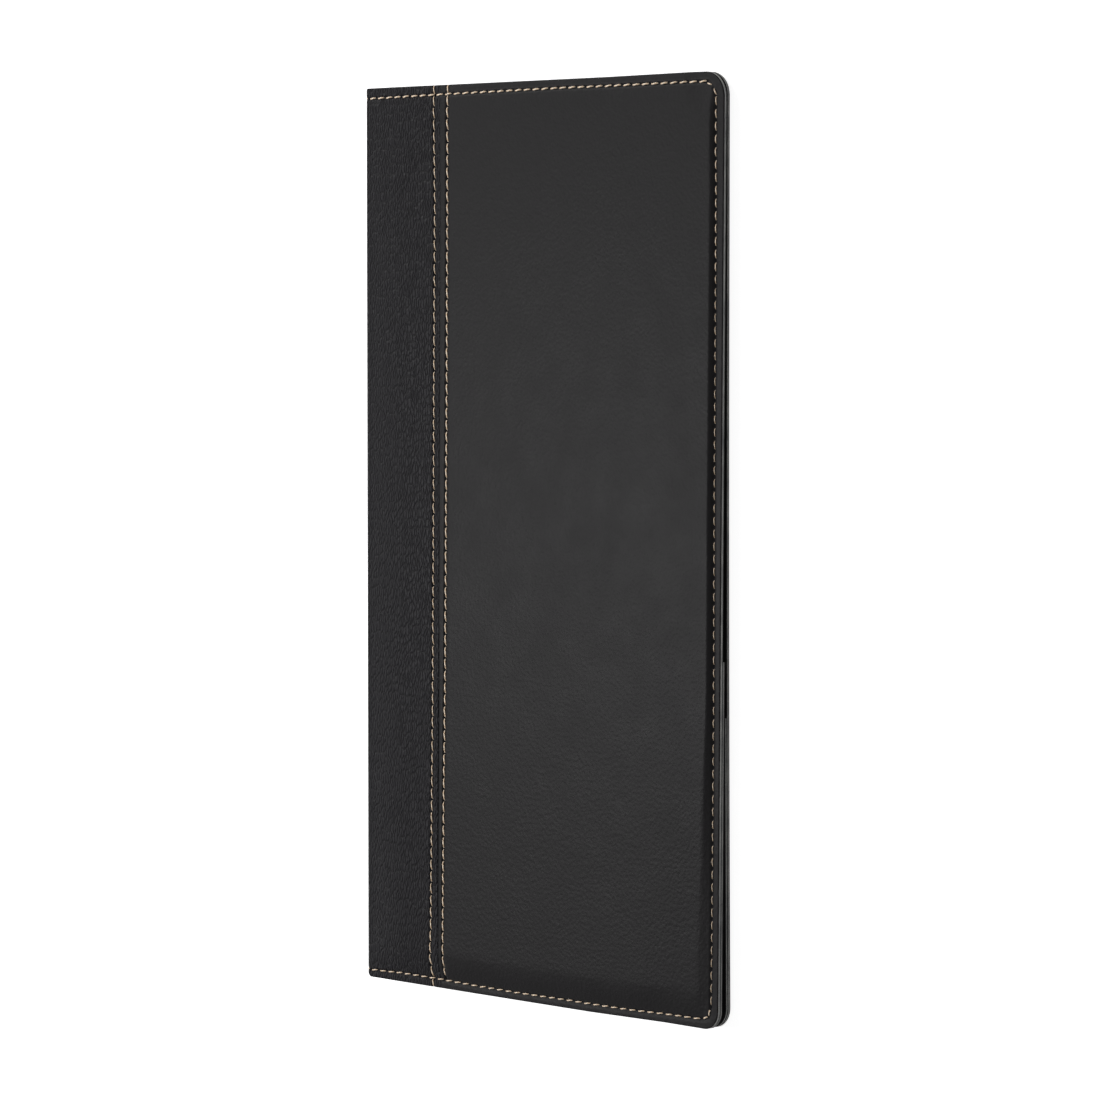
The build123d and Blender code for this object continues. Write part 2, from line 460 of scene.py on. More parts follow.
    def leaning(self, u: float, y: float) -> float:
        """Find how far a point near the seam is carried sideways by the seam's lean.

        Args:
            u: Distance from the fold line.
            y: Distance up the page.

        Returns:
            The move along u.
        """
        start, stop = self.sway_reach
        knots = ((start, 0.0), (self.band_row, self.band_sway(y)), (self.seam, self.seam_sway(y)))
        return Curve(*knots, (self.panel_row, self.panel_sway(y)), (stop, 0.0)).read(u)

    def place(self, side: Side, u: float, y: float, h: float) -> Vector:
        """Carry a point of the flat lay-out to its place on the closed presenter.

        Args:
            side: The cover that the point belongs to.
            u: Distance from the fold line, below zero round the fold.
            y: Distance up the page.
            h: Height out from the face of the sewn margin.

        Returns:
            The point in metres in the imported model's frame.
        """
        moved = self.spread(side, u, y) if u > 0.0 else 0.0
        if u >= 0.0:
            x, z = self.fold_x + u, self.margin_level - h
        else:
            angle = -u / self.fold_radius
            x = self.fold_x - (self.fold_radius + h) * math.sin(angle)
            z = self.middle_level - (self.fold_radius + h) * math.cos(angle)
            from_tip = self.fold_radius * (1.0 - math.sin(angle))
            end_radius = self.fold_end_radii[y < 0.0]
            drawn_in = end_radius * rounding(from_tip, end_radius)
            past = abs(y) - self.half_height + self.fold_end_reach
            outer = max(0.0, past / self.fold_end_reach)
            y = math.copysign(abs(y) - drawn_in * outer, y)
        bow = self.head_bow(u) if y > 0.0 else self.tail_bow(u)
        y += math.copysign((y / self.half_height) ** 2 * bow, y)
        if side is Side.FRONT:
            return Vector((x, y, 2.0 * self.middle_level - z + moved)) * MM
        return Vector((x + moved, y, z)) * MM


LAYOUT = Layout()


# --------------------------------------------------------------------------------------- finishes


@dataclass(frozen=True)
class Finish:
    """A material and the size of its pattern. Each finish below says what the real one is."""

    name: str
    colour: str
    roughness: float = 0.5

    def material(self) -> bpy.types.Material:
        """Make the material, or find it if it's already made.

        Returns:
            The material.
        """
        made = bpy.data.materials.get(self.name)
        if made is None:
            made = bpy.data.materials.new(self.name)
            made.use_nodes = True
            made.node_tree.nodes.clear()
            shader = self.shader(made.node_tree)
            add_node(made.node_tree, "OutputMaterial", links={"Surface": shader.outputs[0]})
        return made

    def shader(self, tree: bpy.types.NodeTree) -> bpy.types.Node:
        """Build the nodes and return the last one."""
        raise NotImplementedError


@dataclass(frozen=True)
class SmoothLeatherette(Finish):
    """Polyurethane leatherette, calendered almost smooth: matt, with fine pebbles under a low sheen."""

    darker: str = "#1d1c1d"
    pebble: float = 0.9  # the real ones are finer, and are drawn as coarse as they need to show
    grit: float = 0.35
    grit_share: float = 0.45
    cloud: float = 9.0  # the patches in which colour and gloss vary a little
    gloss_play: tuple[float, float] = (0.05, 0.07)
    relief: float = 0.1
    specular: float = 0.05

    def shader(self, tree: bpy.types.NodeTree) -> bpy.types.Node:
        """Build the leatherette.

        Args:
            tree: The node tree to add to.

        Returns:
            The shader's own node.
        """
        where = add_node(tree, "TexCoord").outputs["Object"]
        cells = add_node(
            tree, "TexVoronoi", {"Scale": 1.0 / (self.pebble * MM), "Randomness": 1.0}, {"Vector": where},
            feature="SMOOTH_F1",
        )
        grit = add_node(tree, "TexNoise", {"Scale": 1.0 / (self.grit * MM), "Detail": 2.0}, {"Vector": where})
        cloud = add_node(
            tree, "TexNoise", {"Scale": 1.0 / (self.cloud * MM), "Detail": 3.0}, {"Vector": where}
        )
        height = add_node(
            tree, "Math", {1: self.grit_share}, {0: grit.outputs["Fac"], 2: cells.outputs["Distance"]},
            operation="MULTIPLY_ADD",
        )
        bump = add_node(
            tree, "Bump", {"Strength": 0.6, "Distance": self.relief * MM}, {"Height": height.outputs[0]}
        )
        tint = self.tint(tree, cloud.outputs["Fac"])
        less, more = self.gloss_play
        rough = add_node(
            tree, "MapRange", {"To Min": self.roughness - less, "To Max": self.roughness + more},
            {"Value": cloud.outputs["Fac"]},
        )
        return add_node(
            tree, "BsdfPrincipled", {"IOR": 1.5, "Specular IOR Level": self.specular},
            {"Base Color": tint, "Roughness": rough.outputs["Result"], "Normal": bump.outputs["Normal"]},
        )

    def tint(self, tree: bpy.types.NodeTree, share: bpy.types.NodeSocket) -> bpy.types.NodeSocket:
        """Vary the colour a little from place to place.

        Args:
            tree: The node tree to add to.
            share: The socket that says where in the range of colours each place is.

        Returns:
            The colour's socket.
        """
        ramp = add_node(tree, "ValToRGB", links={"Fac": share})
        ramp.color_ramp.elements[0].position = 0.3
        ramp.color_ramp.elements[0].color = to_linear(self.darker)
        ramp.color_ramp.elements[1].position = 0.7
        ramp.color_ramp.elements[1].color = to_linear(self.colour)
        return ramp.outputs["Color"]


@dataclass(frozen=True)
class GrainedLeatherette(Finish):
    """Polyurethane leatherette embossed with a long wrinkled grain that runs up the page, with painted shade
    in its creases.
    """

    # Painted shade: the creases get this darker colour for the shade that falls in them.
    crease_shade: str = "#131214"
    cell_width: float = 0.9
    cell_length: float = 2.5
    wander: float = 2.2  # how far apart the creases change course
    drift: float = 0.6  # and how far they move
    crease: float = 0.3  # a crease's share of its cell
    grit: float = 0.4
    grit_share: float = 0.25
    relief: float = 0.2
    specular: float = 0.05

    def shader(self, tree: bpy.types.NodeTree) -> bpy.types.Node:
        """Build the leatherette. Its pattern follows the flat sheet, so it bends round the fold.

        Args:
            tree: The node tree to add to.

        Returns:
            The shader's own node.
        """
        where = add_node(tree, "Attribute", attribute_name="flat_sheet").outputs["Vector"]
        wander = add_node(
            tree, "TexNoise", {"Scale": 1.0 / (self.wander * MM), "Detail": 2.0}, {"Vector": where}
        )
        push = add_node(
            tree, "VectorMath", {1: (0.5, 0.5, 0.5)}, {0: wander.outputs["Color"]}, operation="SUBTRACT"
        )
        moved = add_node(
            tree, "VectorMath", {1: (self.drift * MM, self.drift * MM, 0.0)}, {0: push.outputs[0], 2: where},
            operation="MULTIPLY_ADD",
        )
        drawn = add_node(
            tree, "Mapping", {"Scale": (1.0 / (self.cell_width * MM), 1.0 / (self.cell_length * MM), 0.0)},
            {"Vector": moved.outputs[0]},
        )
        crease = add_node(
            tree, "TexVoronoi", {"Scale": 1.0, "Randomness": 1.0}, {"Vector": drawn.outputs[0]},
            feature="DISTANCE_TO_EDGE", voronoi_dimensions="2D",
        )
        ridge = add_node(
            tree, "MapRange", {"From Min": 0.0, "From Max": self.crease},
            {"Value": crease.outputs["Distance"]}, interpolation_type="SMOOTHSTEP",
        )
        grit = add_node(tree, "TexNoise", {"Scale": 1.0 / (self.grit * MM), "Detail": 2.0}, {"Vector": where})
        height = add_node(
            tree, "Math", {1: self.grit_share}, {0: grit.outputs["Fac"], 2: ridge.outputs["Result"]},
            operation="MULTIPLY_ADD",
        )
        bump = add_node(
            tree, "Bump", {"Strength": 0.8, "Distance": self.relief * MM}, {"Height": height.outputs[0]}
        )
        # Painted shade: the ramp colours the grain's creases darker than its ridges.
        ramp = add_node(tree, "ValToRGB", links={"Fac": ridge.outputs["Result"]})
        ramp.color_ramp.elements[0].color = to_linear(self.crease_shade)
        ramp.color_ramp.elements[1].position = 0.6
        ramp.color_ramp.elements[1].color = to_linear(self.colour)
        return add_node(
            tree, "BsdfPrincipled",
            {"IOR": 1.5, "Specular IOR Level": self.specular, "Roughness": self.roughness},
            {"Base Color": ramp.outputs["Color"], "Normal": bump.outputs["Normal"]},
        )


@dataclass(frozen=True)
class FabricBacking(Finish):
    """Brushed polyester knit on the back of leatherette, seen as a grey line at a cut edge."""

    darker: str = "#8e8f90"
    fibre: float = 0.25
    worn: float = 7.0  # the size of its greyer patches
    relief: float = 0.05

    def shader(self, tree: bpy.types.NodeTree) -> bpy.types.Node:
        """Build the knit.

        Args:
            tree: The node tree to add to.

        Returns:
            The shader's own node.
        """
        where = add_node(tree, "TexCoord").outputs["Object"]
        fibres = add_node(
            tree, "TexNoise", {"Scale": 1.0 / (self.fibre * MM), "Detail": 3.0}, {"Vector": where}
        )
        wear = add_node(tree, "TexNoise", {"Scale": 1.0 / (self.worn * MM), "Detail": 2.0}, {"Vector": where})
        share = add_node(
            tree, "Math", links={0: fibres.outputs["Fac"], 1: wear.outputs["Fac"]}, operation="MULTIPLY"
        )
        ramp = add_node(tree, "ValToRGB", links={"Fac": share.outputs[0]})
        ramp.color_ramp.elements[0].position = 0.12
        ramp.color_ramp.elements[0].color = to_linear(self.darker)
        ramp.color_ramp.elements[1].position = 0.36
        ramp.color_ramp.elements[1].color = to_linear(self.colour)
        bump = add_node(
            tree, "Bump", {"Strength": 0.7, "Distance": self.relief * MM}, {"Height": fibres.outputs["Fac"]}
        )
        return add_node(
            tree, "BsdfPrincipled", {"Roughness": self.roughness, "Specular IOR Level": 0.1},
            {"Base Color": ramp.outputs["Color"], "Normal": bump.outputs["Normal"]},
        )


@dataclass(frozen=True)
class SewingThread(Finish):
    """Bonded polyester thread of three plies: the twist shows as slanted ridges with a soft gloss."""

    shaded: str = "#dab891"
    ply: float = 0.55  # from ridge to ridge, as a share of a stitch: about 1.5 mm
    relief: float = 0.06

    def shader(self, tree: bpy.types.NodeTree) -> bpy.types.Node:
        """Build the thread. Its UV map holds lengths along each stitch and turns round it.

        Args:
            tree: The node tree to add to.

        Returns:
            The shader's own node.
        """
        lay = add_node(tree, "UVMap", uv_map="thread_lay").outputs["UV"]
        split = add_node(tree, "SeparateXYZ", links={0: lay})
        turns = add_node(tree, "Math", {1: 1.0 / self.ply}, {0: split.outputs["X"]}, operation="MULTIPLY")
        phase = add_node(tree, "Math", links={0: turns.outputs[0], 1: split.outputs["Y"]}, operation="ADD")
        angle = add_node(tree, "Math", {1: math.tau}, {0: phase.outputs[0]}, operation="MULTIPLY")
        wave = add_node(tree, "Math", links={0: angle.outputs[0]}, operation="SINE")
        ridge = add_node(tree, "MapRange", {"From Min": -1.0}, {"Value": wave.outputs[0]})
        ramp = add_node(tree, "ValToRGB", links={"Fac": ridge.outputs["Result"]})
        ramp.color_ramp.elements[0].color = to_linear(self.shaded)
        ramp.color_ramp.elements[1].position = 0.6
        ramp.color_ramp.elements[1].color = to_linear(self.colour)
        bump = add_node(
            tree, "Bump", {"Strength": 0.6, "Distance": self.relief * MM}, {"Height": ridge.outputs["Result"]}
        )
        gloss = {"Roughness": self.roughness, "Specular IOR Level": 0.5}
        return add_node(
            tree, "BsdfPrincipled", {**gloss, "Sheen Weight": 0.4, "Sheen Roughness": 0.4},
            {"Base Color": ramp.outputs["Color"], "Normal": bump.outputs["Normal"]},
        )


@dataclass(frozen=True)
class Greyboard(Finish):
    """Unlined greyboard of recycled pulp: dull, with short darker fibres."""

    darker: str = "#6f6a63"
    fibre: float = 1.2

    def shader(self, tree: bpy.types.NodeTree) -> bpy.types.Node:
        """Build the board.

        Args:
            tree: The node tree to add to.

        Returns:
            The shader's own node.
        """
        where = add_node(tree, "TexCoord").outputs["Object"]
        fibres = add_node(
            tree, "TexNoise", {"Scale": 1.0 / (self.fibre * MM), "Detail": 4.0, "Distortion": 1.5},
            {"Vector": where},
        )
        ramp = add_node(tree, "ValToRGB", links={"Fac": fibres.outputs["Fac"]})
        ramp.color_ramp.elements[0].color = to_linear(self.darker)
        ramp.color_ramp.elements[1].color = to_linear(self.colour)
        return add_node(
            tree, "BsdfPrincipled", {"Roughness": self.roughness}, {"Base Color": ramp.outputs["Color"]}
        )


@dataclass(frozen=True)
class PolyFoam(Finish):
    """Open-cell polyurethane foam sheet: matt, with cells under half a millimetre across."""

    cell: float = 0.4
    relief: float = 0.15

    def shader(self, tree: bpy.types.NodeTree) -> bpy.types.Node:
        """Build the foam.

        Args:
            tree: The node tree to add to.

        Returns:
            The shader's own node.
        """
        where = add_node(tree, "TexCoord").outputs["Object"]
        cells = add_node(tree, "TexVoronoi", {"Scale": 1.0 / (self.cell * MM)}, {"Vector": where})
        bump = add_node(tree, "Bump", {"Distance": self.relief * MM}, {"Height": cells.outputs["Distance"]})
        return add_node(
            tree, "BsdfPrincipled", {"Base Color": to_linear(self.colour), "Roughness": self.roughness},
            {"Normal": bump.outputs["Normal"]},
        )


PANEL_FACE = SmoothLeatherette("calendered_pu_leatherette", "#1f1e1f", 0.38)
BAND_FACE = GrainedLeatherette("embossed_pu_leatherette", "#212023", 0.36)
INNER_FACE = SmoothLeatherette("lining_leatherette", "#2b2a2b", 0.55, pebble=0.6)
BACKING = FabricBacking("knit_backing", "#c8c8c4", 0.9)
THREAD = SewingThread("tan_polyester_thread", "#fae5cb", 0.4)
BOARD = Greyboard("unlined_greyboard", "#948e86", 0.9)
FOAM = PolyFoam("polyurethane_foam", "#3b3b3c", 0.95)


# -------------------------------------------------------------------------------- sheets and skins

# How far in from a cut edge, and from the joint of band and panel, the close grid lines lie.
EDGE_STEPS = (
    0.0, 0.06, 0.16, 0.35, 0.8, 1.4, 1.85, 2.15, 2.4, 2.65, 2.9, 3.15, 3.4, 3.65, 3.95, 4.3, 4.7, 5.2,
)
SEAM_STEPS = (0.0, 0.04, 0.1, 0.2, 0.35)
# Where they lie across a seam row, as shares of its reach, and how far from a needle hole along it.
ROW_SHARES = (-1.0, -0.6, -0.35, -0.15, 0.0, 0.15, 0.35, 0.6, 1.0)
HOLE_STEP = 0.4
CLEAR_OF_CLOSE = 0.3  # no other line comes as near as this to close ones


def fold_lines(count: int) -> list[float]:
    """The grid lines from the middle of the fold to the fold line."""
    return [-LAYOUT.fold_run * number / count for number in range(count, -1, -1)]


def row_lines(start: float, stop: float, pitch: float, fine: bool) -> list[float]:
    """Grid lines that give each needle hole of a row a line of its own.

    Args:
        start: Where the first hole is.
        stop: Where the last hole is.
        pitch: Distance between holes.
        fine: Whether each hole also gets a line on both sides.

    Returns:
        The lines, in order.
    """
    lines = []
    for number in range(round((stop - start) / pitch)):
        hole = start + number * pitch
        between = hole + pitch / 2.0
        lines += [hole, hole + HOLE_STEP, between, hole + pitch - HOLE_STEP] if fine else [hole, between]
    return lines + [stop]


def height_lines(fine: bool = True) -> list[float]:
    """Find the grid lines across a cover from its bottom edge to its top edge.

    Args:
        fine: Whether each needle hole has close lines.

    Returns:
        The lines, in order.
    """
    edge = [LAYOUT.half_height - step for step in EDGE_STEPS]
    straight = row_lines(-LAYOUT.straight_top, LAYOUT.straight_top, LAYOUT.along_pitch(), fine)
    return sorted([-y for y in edge] + straight + edge)


def width_lines(side: Side, fine: bool = True) -> list[float]:
    """Find the grid lines up a cover from its fold line to its free edge.

    Args:
        side: The cover.
        fine: Whether each needle hole has close lines.

    Returns:
        The lines, in order.
    """
    free = LAYOUT.width(side)
    straight = row_lines(0.0, free - LAYOUT.corner_radius, LAYOUT.across_pitch(side), fine)
    return straight + sorted(free - step for step in EDGE_STEPS)


def lines_round(middle: float, reach: float) -> list[float]:
    """Close grid lines on both sides of a seam row."""
    return [middle + reach * share for share in ROW_SHARES]


def merged(base: Iterable[float], close: Sequence[float]) -> list[float]:
    """Base lines with some close ones let in, and no base line among or near those."""
    low, high = min(close) - CLEAR_OF_CLOSE, max(close) + CLEAR_OF_CLOSE
    return sorted([line for line in base if line < low or line > high] + list(close))


class Sheet:
    """A sheet of material, laid out flat on a grid and then carried to its place."""

    def __init__(self, name: str, side: Side, us: Sequence[float], ys: Sequence[float]) -> None:
        """Lay the flat grid out.

        Args:
            name: Name of the piece.
            side: The cover that it belongs to.
            us: Grid lines from the fold outwards.
            ys: Grid lines up the page.
        """
        self.name = name
        self.side = side
        self.bm = bmesh.new()
        self.u = self.bm.verts.layers.float.new("u")
        self.y = self.bm.verts.layers.float.new("y")
        self.flat = self.bm.verts.layers.float_vector.new("flat_sheet")
        bmesh.ops.create_grid(self.bm, x_segments=len(us) - 1, y_segments=len(ys) - 1, size=0.5)
        for vert in self.bm.verts:
            vert[self.u] = us[round((vert.co.x + 0.5) * (len(us) - 1))]
            vert[self.y] = ys[round((vert.co.y + 0.5) * (len(ys) - 1))]
            vert[self.u], vert[self.y] = self.rounded_corner(vert[self.u], vert[self.y])
            vert[self.flat] = Vector((vert[self.u], vert[self.y], 0.0)) * MM

    def rounded_corner(self, u: float, y: float) -> FlatPoint:
        """Draw the grid's square corner in to the cover's rounded one.

        Args:
            u: Distance from the fold line.
            y: Distance up the page.

        Returns:
            The point's new u and y.
        """
        radius = LAYOUT.corner(self.side, y)
        past_u, past_y = u - LAYOUT.width(self.side) + radius, abs(y) - LAYOUT.half_height + radius
        if past_u <= 0.0 or past_y <= 0.0:
            return u, y
        share = max(past_u, past_y) / math.hypot(past_u, past_y)
        return u + past_u * (share - 1.0), math.copysign(abs(y) + past_y * (share - 1.0), y)

    def raise_to(self, verts: Iterable[bmesh.types.BMVert], height: Height, leaning: bool) -> None:
        """Carry points from the flat sheet to their place.

        Args:
            verts: The points.
            height: Their height at a place in the flat sheet.
            leaning: Whether the points near the seam follow its lean.
        """
        for vert in verts:
            u, y = vert[self.u], vert[self.y]
            lean = LAYOUT.leaning(u, y) if leaning else 0.0
            vert.co = LAYOUT.place(self.side, u + lean, y, height(u, y))

    def thicken(self, face: Height, coat: Height, back: Height, leaning: bool = False) -> None:
        """Give the sheet its face, the line where the coat meets the backing, and its back.

        Args:
            face: Height of the face at a point of the sheet.
            coat: Height of the lower side of the coat, at the cut edges.
            back: Height of the back of the sheet.
            leaning: Whether the points near the seam follow its lean.
        """
        faces = list(self.bm.faces)
        self.raise_to(self.bm.verts, face, leaning)
        for level, slot in ((coat, 0), (back, 1)):
            known = set(self.bm.faces)
            grown = bmesh.ops.extrude_face_region(self.bm, geom=faces)["geom"]
            faces = [part for part in grown if isinstance(part, bmesh.types.BMFace)]
            self.raise_to([part for part in grown if isinstance(part, bmesh.types.BMVert)], level, leaning)
            for wall in self.bm.faces:
                if wall not in known:
                    wall.material_index = slot

    def order(self, part: bmesh.types.BMEdge | bmesh.types.BMFace) -> int:
        """A number that no other edge or no other face has, worked out from its points."""
        corners = [vert.index for vert in part.verts]
        return min(corners) * len(self.bm.verts) + max(corners)

    def finished(self, finishes: Sequence[Finish]) -> bpy.types.Object:
        """Close the mesh into an object with its materials.

        An extrusion leaves its walls in an order that changes from run to run, so the edges and the
        faces are put in order first.

        Args:
            finishes: Its materials, in slot order.

        Returns:
            The new object.
        """
        self.bm.verts.index_update()
        self.bm.edges.sort(key=self.order)
        self.bm.faces.sort(key=self.order)
        bmesh.ops.recalc_face_normals(self.bm, faces=self.bm.faces)
        return as_object(self.name, self.bm, finishes)


def as_object(name: str, bm: bmesh.types.BMesh, finishes: Sequence[Finish]) -> bpy.types.Object:
    """Turn a bmesh into a smooth-shaded object at the origin.

    Args:
        name: Name of the object and its mesh.
        bm: The shape, which is freed.
        finishes: Its materials, in slot order.

    Returns:
        The new object.
    """
    mesh = bpy.data.meshes.new(name)
    for part in bm.faces:
        part.smooth = True
    bm.to_mesh(mesh)
    bm.free()
    for finish in finishes:
        mesh.materials.append(finish.material())
    made = bpy.data.objects.new(name, mesh)
    bpy.context.scene.collection.objects.link(made)
    return made


def hold(piece: bpy.types.Object, side: Side, on_fold: bool) -> None:
    """Make a piece ride on its cover, or, if it lies on the fold, bake its transform into its mesh.

    Args:
        piece: The piece.
        side: Its cover.
        on_fold: Whether it lies on the fold.
    """
    if not on_fold:
        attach(piece, side.body)
        return
    foot = LAYOUT.place(side, 0.0, 0.0, 0.0)
    tip = LAYOUT.place(side, -LAYOUT.fold_run, 0.0, 0.0)
    if side is Side.BACK:
        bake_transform(piece)
    else:
        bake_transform(piece)


@dataclass
class OuterSkin:
    """The band and the panel of one cover: leatherette drawn down along its rows of stitches."""

    side: Side
    groove: float = 0.3  # of a seam row
    seam_groove_width: float = 0.42
    row_end: float = 0.3  # the run over which it ends
    panel_row_end: float = 2.8  # where the panel's row ends, up from the tail: it isn't cut through there
    edge_groove: float = 0.16
    groove_width: float = 0.45
    hole: float = 0.5
    hole_width: float = 0.36
    hole_length: float = 0.42
    turned_radius: float = 0.35
    # How deep the joint of band and panel shows up the page, from hardly to its full depth.
    joint: Curve = Curve(
        (-122.0, 0.3), (-110.0, 1.0), (-96.0, 1.5), (-80.0, 1.1), (-55.0, 1.1), (-37.0, 0.7), (-20.0, 0.3),
        (-3.0, 0.6), (14.0, 0.3), (31.0, 0.42), (48.0, 0.3), (66.0, 0.15), (127.0, 0.12),
    )
    edge_radius: float = 0.2
    coat: float = 0.3
    thinnest_coat: float = 0.08
    thinnest_knit: float = 0.02
    least: float = 0.05
    closing: Ease = Ease(2.5, 2.0)  # where the skin's back leaves the lining, in from the cut edge
    ripple: float = 0.03
    ripple_size: tuple[float, float] = (13.0, 17.0)
    ripple_seed: float = 3.0
    row_reach: float = 1.1  # of the close grid lines beside a seam row
    seam_line: float = 1.2  # the last grid line beside the joint, on the panel
    fold_steps: int = 10

    def drawn_down(self, u: float, y: float) -> float:
        """Find how far the stitches pull the skin in.

        Args:
            u: Distance from the fold line.
            y: Distance up the page.

        Returns:
            The depth under the pad.
        """
        inset = LAYOUT.edge_distance(self.side, u, y) - LAYOUT.row_inset(self.side, u, y)
        deep = self.edge_groove * bell(inset, self.groove_width)
        holes = bell(LAYOUT.hole_distance(self.side, u, y), self.hole_length)
        deep += self.hole * bell(inset, self.hole_width) * holes
        tail = -LAYOUT.half_height
        for row, end in ((LAYOUT.band_row, tail), (LAYOUT.panel_row, self.panel_row_end + tail)):
            pull = self.groove + self.hole * bell(LAYOUT.seam_hole_distance(y), self.hole_length)
            deep += pull * bell(u - row, self.seam_groove_width) * clamp((y - end) / self.row_end + 1.0)
        return deep

    def face(self, u: float, y: float) -> float:
        """Find the height of the skin's face.

        Args:
            u: Distance from the fold line.
            y: Distance up the page.

        Returns:
            The height over the margin.
        """
        pad = LAYOUT.pad(self.side, u, y)
        size_u, size_y = self.ripple_size
        seed = self.ripple_seed + (self.side is Side.FRONT)
        ripple = self.ripple * noise.noise(Vector((u / size_u, y / size_y, seed)))
        edge = self.edge_radius * rounding(LAYOUT.edge_distance(self.side, u, y), self.edge_radius)
        turned = self.turned_radius * rounding(abs(u - LAYOUT.seam), self.turned_radius) * self.joint(y)
        height = pad * (1.0 + ripple / LAYOUT.pad_rise) - self.drawn_down(u, y) - edge - turned
        return max(height, self.back(u, y) + self.least)

    def coat_line(self, u: float, y: float) -> float:
        """Height where the coat ends and the backing begins, at a cut edge."""
        coat = min(self.face(u, y) - self.thinnest_coat, LAYOUT.pad(self.side, u, y) - self.coat)
        return max(coat, self.back(u, y) + self.thinnest_knit)

    def back(self, u: float, y: float) -> float:
        """Height of the skin's back, which stays clear of the foam."""
        loose = self.closing(LAYOUT.edge_distance(self.side, u, y)) * LAYOUT.pad(self.side, u, y)
        return max(loose - LAYOUT.skin, LAYOUT.packing(self.side, u, y) + LAYOUT.clearance)

    def piece(self, name: str, us: Sequence[float], finish: Finish, nodes: Sequence[str], slot: str) -> None:
        """Build one part of the skin.

        Args:
            name: Name of the piece.
            us: Its grid lines from the fold outwards.
            finish: The face's finish.
            nodes: The CAD nodes that it stands for.
            slot: The material slot of the record; not used.
        """
        sheet = Sheet(name, self.side, us, height_lines())
        sheet.thicken(self.face, self.coat_line, self.back, leaning=True)
        made = sheet.finished((finish, BACKING))
        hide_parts(*nodes)
        hold(made, self.side, on_fold=us[0] < 0.0)
        log.info("%s: %d faces", name, len(made.data.polygons))

    def build(self) -> None:
        """Build the panel, the band and the band's half of the fold."""
        seam = LAYOUT.seam
        across = width_lines(self.side)
        panel_close = [seam + step for step in (*SEAM_STEPS, self.seam_line)]
        panel_close += lines_round(LAYOUT.panel_row, self.row_reach)
        panel = [line for line in merged(across, panel_close) if line >= seam]
        band_close = lines_round(LAYOUT.band_row, self.row_reach) + [seam - step for step in SEAM_STEPS]
        band = [line for line in merged(across, band_close) if line <= seam]
        fold = fold_lines(self.fold_steps)
        prefix = self.side.value
        self.piece(f"{prefix}_panel_skin", panel, PANEL_FACE, [f"{prefix}_panel"], "smooth_leatherette")
        self.piece(f"{prefix}_band_skin", band, BAND_FACE, [f"{prefix}_band"], "grained_leatherette")
        self.piece(f"{prefix}_fold_skin", fold, BAND_FACE, ["spine_band"], "grained_leatherette")


